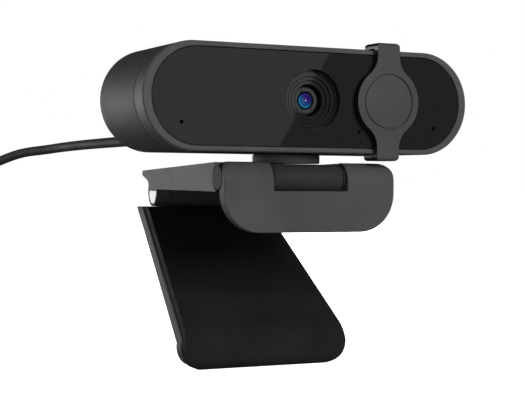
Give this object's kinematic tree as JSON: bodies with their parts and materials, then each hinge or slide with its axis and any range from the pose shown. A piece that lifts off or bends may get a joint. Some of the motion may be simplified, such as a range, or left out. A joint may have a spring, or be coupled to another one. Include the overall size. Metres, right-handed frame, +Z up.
{
  "type": "webcam",
  "caption": "Wide webcam with a sliding lens cover on a folding monitor clip: swivel post, tilting foot, arm, hanging front plate and rubber-faced rear leg, with a coiled USB lead.",
  "frame": {"origin": "centre of the arm's underside pad, the face that rests on the top edge of a monitor", "axes": "-Y is the way the camera looks, +X runs along the camera body from the lens towards the parked privacy cover, +Z is up"},
  "size_m": [0.1653, 0.1939, 0.0942],
  "materials": {
    "bezel_plastic": "satin moulded plastic",
    "housing_plastic": "fine matte moulded plastic",
    "clip_plastic": "fine matte moulded plastic",
    "cover_plastic": "satin moulded plastic",
    "black_plastic": "semi-gloss black plastic",
    "black_glass": "polished dark front",
    "lens_glass": "coated optical glass",
    "rubber": "matte",
    "cord_jacket": "satin",
    "steel": "satin",
    "brass": "turned",
    "circuit_board": "solder mask",
    "chip": "matte",
    "nylon": "matte",
    "light_pipe": "clear"
  },
  "bodies": {
    "clip": {"clip_arm": "clip_plastic", "arm_pad": "rubber", "tripod_insert": "brass", "front_hinge_pin": "steel", "rear_hinge_pin": "steel", "front_hinge_cap_left": "black_plastic", "front_hinge_cap_right": "black_plastic", "rear_hinge_cap_left": "steel", "rear_hinge_cap_right": "steel"},
    "plate": {"front_plate": "clip_plastic", "plate_pad": "rubber"},
    "tilt": {"tilt_foot": "clip_plastic", "swivel_post": "clip_plastic", "swivel_spring_washer": "steel", "swivel_retainer": "steel", "swivel_screw": "steel"},
    "camera": {"front_bezel": "bezel_plastic", "front_glass": "black_glass", "lens_funnel": "black_plastic", "lens_retainer": "black_plastic", "lens_front_element": "lens_glass", "lens_barrel": "black_plastic", "lens_rear_element": "lens_glass", "lens_holder": "black_plastic", "image_sensor": "chip", "main_board": "circuit_board", "video_processor": "chip", "memory_chip": "chip", "cord_connector": "nylon", "mic_gasket_left": "rubber", "mic_gasket_right": "rubber", "microphone_left": "steel", "microphone_right": "steel", "led_light_pipe": "light_pipe", "rear_housing": "housing_plastic", "cord_strain_relief": "rubber", "cord": "cord_jacket", "cord_coil": "cord_jacket", "cord_tie": "rubber", "plug_overmould": "black_plastic", "plug_shell": "steel", "plug_tongue": "nylon"},
    "cover": {"privacy_cover": "cover_plastic"},
    "leg": {"leg_shell": "clip_plastic", "leg_pad": "rubber"}
  },
  "joints": [
    {"name": "plate_hinge", "type": "hinge", "parent": "clip", "child": "plate", "pos_m": [0, -0.034, 0.00405], "axis": [1, 0, 0], "range_deg": [0, 35]},
    {"name": "tilt_hinge", "type": "hinge", "parent": "clip", "child": "tilt", "pos_m": [0, -0.034, 0.00405], "axis": [1, 0, 0], "range_deg": [0, 60]},
    {"name": "pan_swivel", "type": "hinge", "parent": "tilt", "child": "camera", "pos_m": [0, -0.0232, 0.0111], "axis": [0, 0, 1], "range_deg": [-90, 90]},
    {"name": "cover_slide", "type": "slide", "parent": "camera", "child": "cover", "axis": [1, 0, 0], "range_m": [-0.053, 0.0085]},
    {"name": "leg_hinge", "type": "hinge", "parent": "clip", "child": "leg", "pos_m": [0, 0.0314, 0], "axis": [1, 0, 0], "range_deg": [-38, 40]}
  ]
}
